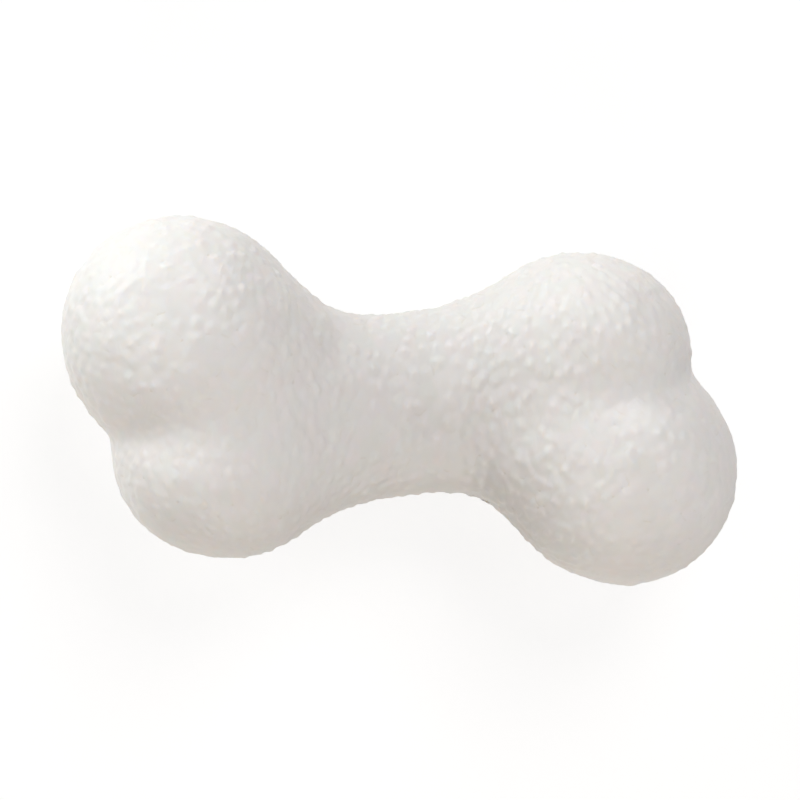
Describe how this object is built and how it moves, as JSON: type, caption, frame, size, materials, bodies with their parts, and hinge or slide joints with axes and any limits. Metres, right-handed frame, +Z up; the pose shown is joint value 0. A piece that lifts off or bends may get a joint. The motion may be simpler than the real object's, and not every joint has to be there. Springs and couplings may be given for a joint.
{
  "type": "dog chew bone",
  "caption": "Fat white chew bone with rounded lobes at both ends, moulded from fused foam beads in bonded halves, for dogs to chew, carry and fetch.",
  "frame": {"origin": "middle of the bone in plan, at the height of the surface that it rests on", "axes": "+X along the bone, +Y across it towards the side where the left end has its large lobe, +Z up, square to the face where the two halves meet"},
  "size_m": [0.1788, 0.088, 0.0604],
  "materials": {
    "bead_foam": "expanded thermoplastic bead foam, satin skin, creamy white",
    "glue_film": "clear contact glue, dried"
  },
  "bodies": {
    "root": {"upper_half": "bead_foam", "lower_half": "bead_foam", "bond_film": "glue_film"}
  },
  "joints": []
}
